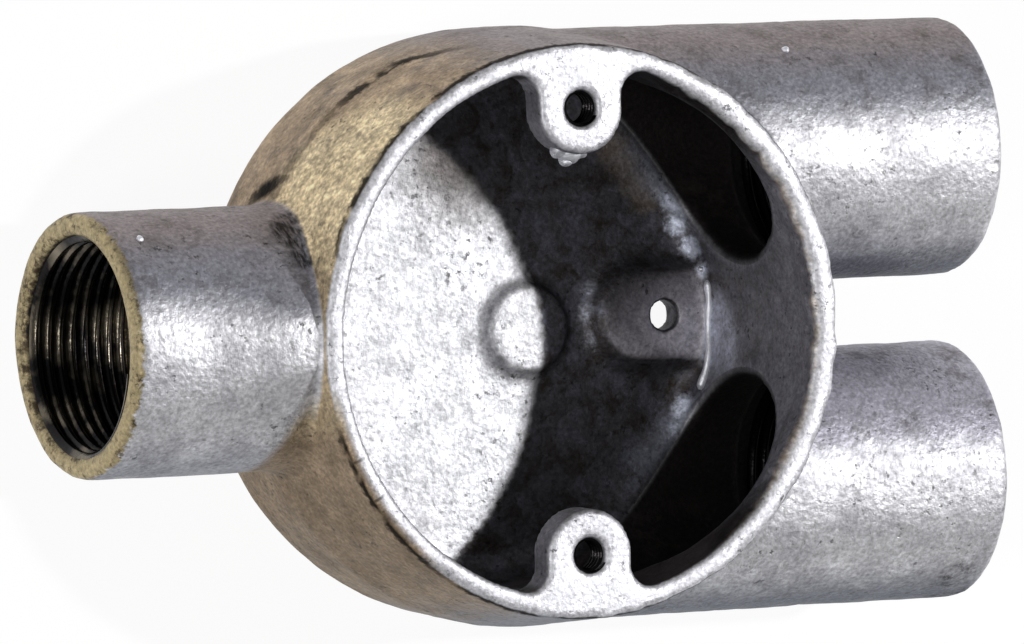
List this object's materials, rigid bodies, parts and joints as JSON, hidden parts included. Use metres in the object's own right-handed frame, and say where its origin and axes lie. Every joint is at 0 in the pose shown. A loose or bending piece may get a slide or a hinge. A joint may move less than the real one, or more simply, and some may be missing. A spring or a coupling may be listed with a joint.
{
  "type": "y conduit box",
  "caption": "Round cast conduit box, open at the front, with a single screwed hub on one side and a parallel pair opposite, lugs for cover screws and a fixing boss in the floor.",
  "frame": {"origin": "middle of the flat back face, under the centre of the round bowl", "axes": "+Z out of the open mouth, +X along the twin hubs, Y along the line of the cover screws"},
  "size_m": [0.1132, 0.0692, 0.034],
  "materials": {
    "galvanised_iron": "satin"
  },
  "bodies": {
    "root": {"box_casting": "galvanised_iron"}
  },
  "joints": []
}
